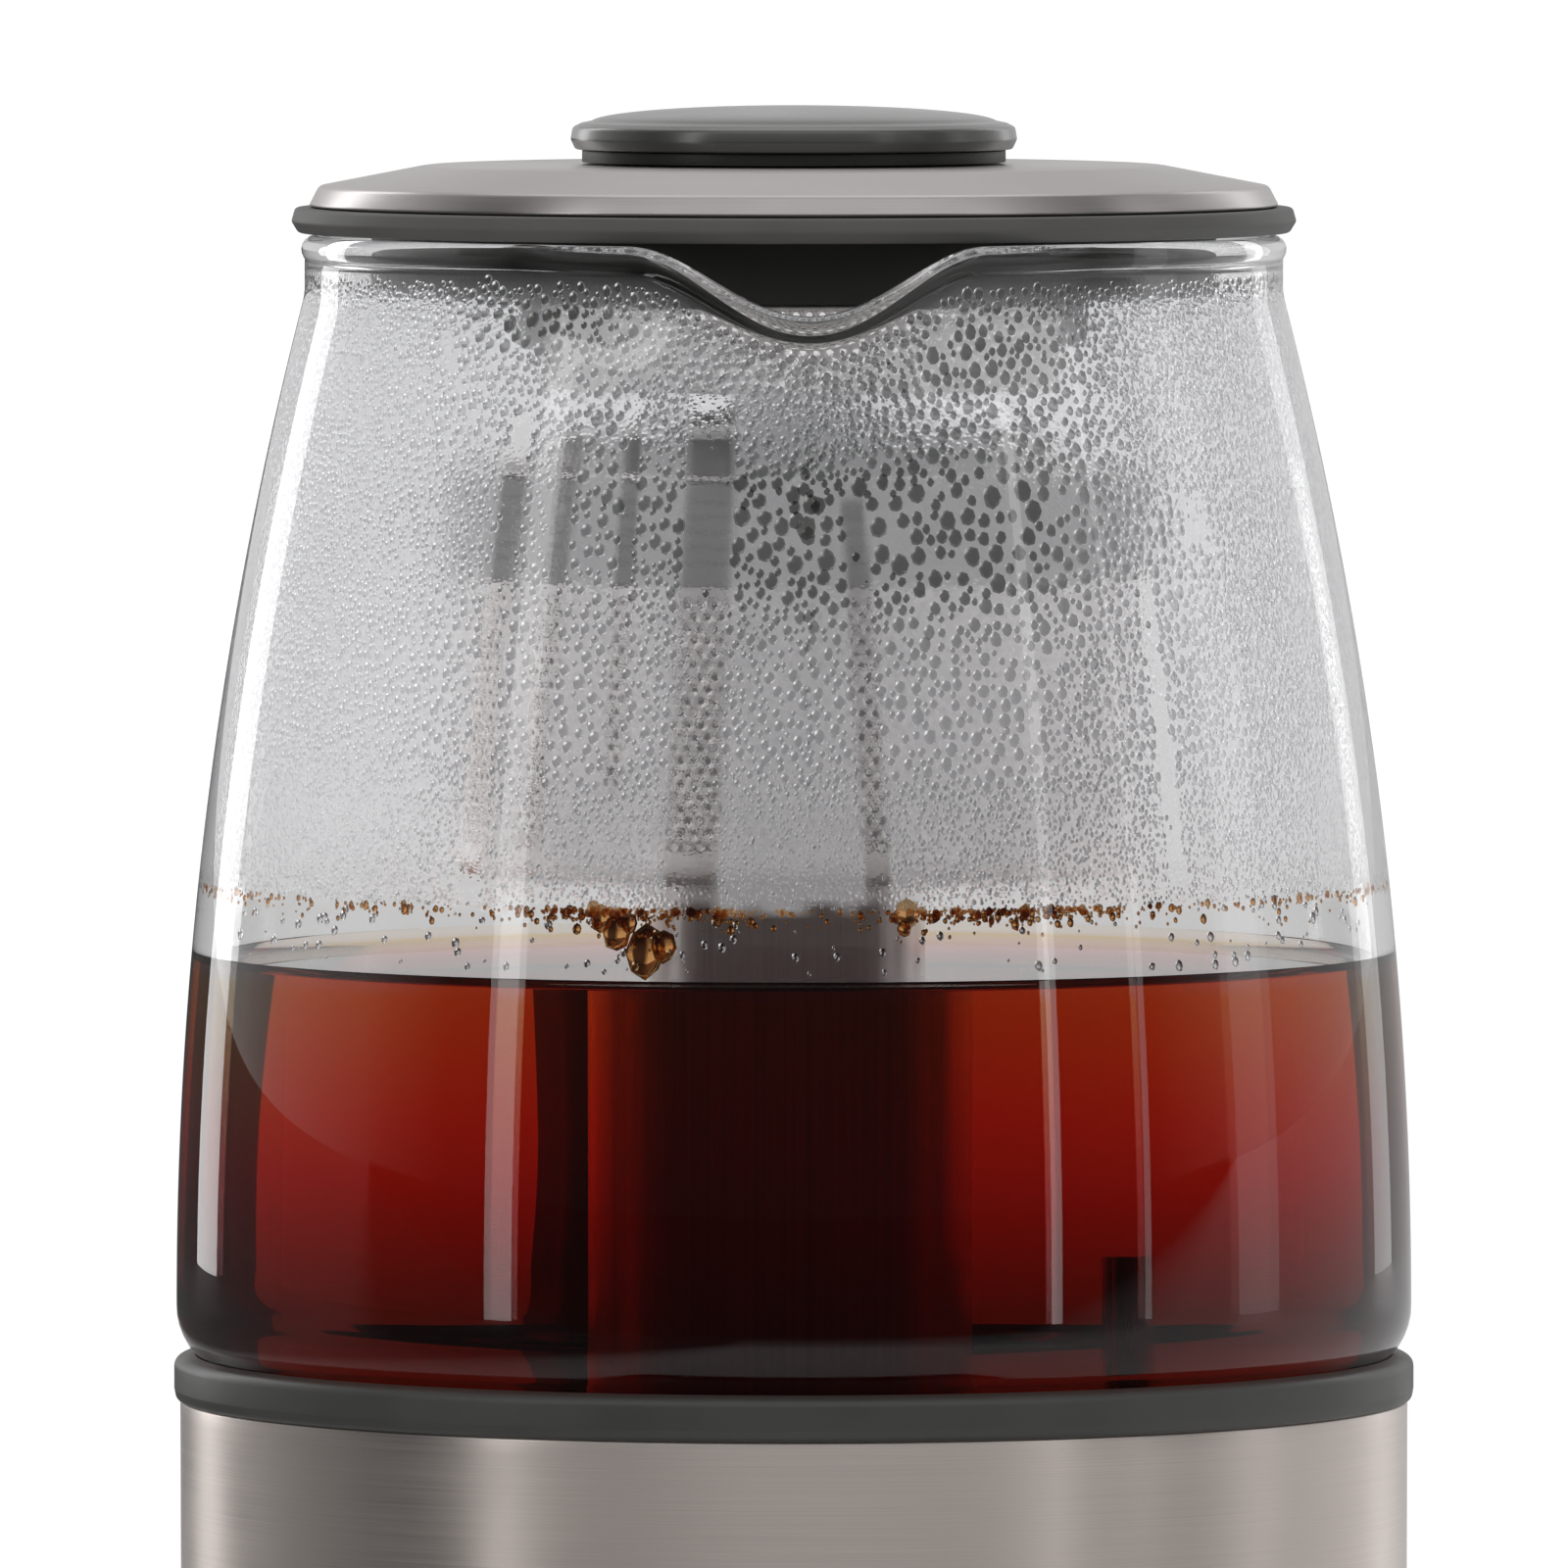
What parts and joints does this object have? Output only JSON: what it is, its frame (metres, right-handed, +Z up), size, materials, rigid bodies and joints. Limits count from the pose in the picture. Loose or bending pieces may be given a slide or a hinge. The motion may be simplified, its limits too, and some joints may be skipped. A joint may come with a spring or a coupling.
{
  "type": "automatic tea maker",
  "caption": "Glass tea jug with steel lid, pouring lip and rear handle, a brewing basket on a magnetic lift post, and a power base with a sloped button panel.",
  "frame": {"origin": "where the jug's axis meets the table, at the plane of the rubber feet", "axes": "+Z up along the jug's axis, -Y towards the pouring lip and the control panel, +Y towards the handle, X across"},
  "size_m": [0.176, 0.2623, 0.2482],
  "materials": {
    "brushed_steel": "brushed",
    "perforated_steel": "satin",
    "clear_glass": "clear",
    "window": "gloss",
    "grey_plastic": "satin",
    "buttons": "satin",
    "black_plastic": "satin",
    "silicone": "matte",
    "collar": "satin",
    "foot_rubber": "matte",
    "board": "gloss",
    "display": "gloss",
    "contacts": "polished",
    "zinc": "satin",
    "magnets": "polished"
  },
  "bodies": {
    "base": {"base_housing": "brushed_steel", "base_floor": "black_plastic", "base_screws": "zinc", "base_feet": "foot_rubber", "control_bezel": "black_plastic", "display_window": "window", "display_module": "display", "control_board": "board", "button_switches": "zinc", "socket_body": "black_plastic", "socket_contacts": "contacts", "power_board": "board", "cord_gland": "black_plastic"},
    "swivel": {"swivel_ring": "zinc"},
    "jug": {"jug_skirt": "brushed_steel", "jug_bottom": "black_plastic", "jug_bottom_screws": "zinc", "glass_ring": "grey_plastic", "glass_jug": "clear_glass", "plate_seal": "silicone", "heating_plate": "brushed_steel", "heating_element": "zinc", "thermal_cutout": "black_plastic", "temperature_probe": "brushed_steel", "jug_connector": "black_plastic", "post_tube": "brushed_steel", "post_cap": "grey_plastic", "post_gasket": "silicone", "screw_bearing": "zinc", "guide_rods": "zinc", "lift_motor": "zinc", "handle_bracket": "brushed_steel", "handle_shell": "black_plastic", "handle_grip": "grey_plastic", "handle_screws": "zinc"},
    "screw": {"lead_screw": "brushed_steel", "screw_gear": "black_plastic"},
    "pinion_shaft": {"pinion": "black_plastic"},
    "carriage": {"lift_carriage": "zinc", "carriage_magnets": "magnets"},
    "basket": {"basket_body": "perforated_steel", "basket_collar": "collar", "basket_clamp": "grey_plastic", "clamp_magnets": "magnets"},
    "basket_cover": {"basket_lid": "perforated_steel", "basket_lid_knob": "grey_plastic"},
    "lid": {"lid_cover": "brushed_steel", "lid_seal": "silicone", "lid_plug": "grey_plastic", "lid_strainer": "perforated_steel", "lid_knob": "grey_plastic", "lid_knob_screw": "zinc"},
    "key_tea_type": {"button_tea_type": "buttons"},
    "key_strength": {"button_strength": "buttons"},
    "key_hot_water": {"button_hot_water": "buttons"},
    "key_start": {"button_start": "buttons"},
    "key_cooler": {"button_cooler": "buttons"},
    "key_warmer": {"button_warmer": "buttons"}
  },
  "joints": [
    {"name": "swivel_turn", "type": "hinge", "parent": "base", "child": "swivel", "pos_m": [0, 0, 0.03], "axis": [0, 0, 1], "continuous": true},
    {"name": "jug_lift_off", "type": "slide", "parent": "swivel", "child": "jug", "axis": [0, 0, 1], "range_m": [0, 0.2]},
    {"name": "lid_lift_off", "type": "slide", "parent": "jug", "child": "lid", "axis": [0, 0, 1], "range_m": [0, 0.1]},
    {"name": "basket_travel", "type": "slide", "parent": "jug", "child": "basket", "axis": [0, 0, 1], "range_m": [-0.056, 0]},
    {"name": "carriage_travel", "type": "slide", "parent": "jug", "child": "carriage", "axis": [0, 0, 1], "range_m": [-0.056, 0]},
    {"name": "screw_spin", "type": "hinge", "parent": "jug", "child": "screw", "pos_m": [0, 0.047, 0.062], "axis": [0, 0, 1], "range_deg": [0, 1008.2]},
    {"name": "pinion_spin", "type": "hinge", "parent": "jug", "child": "pinion_shaft", "pos_m": [0, 0.0302, 0.06], "axis": [0, 0, 1], "range_deg": [-2016.4, 0]},
    {"name": "basket_lid_lift", "type": "slide", "parent": "basket", "child": "basket_cover", "axis": [0, 0, 1], "range_m": [0, 0.012]},
    {"name": "press_tea_type", "type": "slide", "parent": "base", "child": "key_tea_type", "axis": [0, 0.4067, -0.9135], "range_m": [0, 0.0012], "stiffness_N_per_m": 400},
    {"name": "press_strength", "type": "slide", "parent": "base", "child": "key_strength", "axis": [0, 0.4067, -0.9135], "range_m": [0, 0.0012], "stiffness_N_per_m": 400},
    {"name": "press_hot_water", "type": "slide", "parent": "base", "child": "key_hot_water", "axis": [0, 0.4067, -0.9135], "range_m": [0, 0.0012], "stiffness_N_per_m": 400},
    {"name": "press_start", "type": "slide", "parent": "base", "child": "key_start", "axis": [0, 0.4067, -0.9135], "range_m": [0, 0.0012], "stiffness_N_per_m": 400},
    {"name": "press_cooler", "type": "slide", "parent": "base", "child": "key_cooler", "axis": [0, 0.4067, -0.9135], "range_m": [0, 0.0012], "stiffness_N_per_m": 400},
    {"name": "press_warmer", "type": "slide", "parent": "base", "child": "key_warmer", "axis": [0, 0.4067, -0.9135], "range_m": [0, 0.0012], "stiffness_N_per_m": 400}
  ],
  "couplings": [
    {"joint": "carriage_travel", "follows": "basket_travel", "ratio": 1},
    {"joint": "screw_spin", "follows": "basket_travel", "rad_per_m": -314.16},
    {"joint": "pinion_spin", "follows": "basket_travel", "rad_per_m": 628.32}
  ]
}
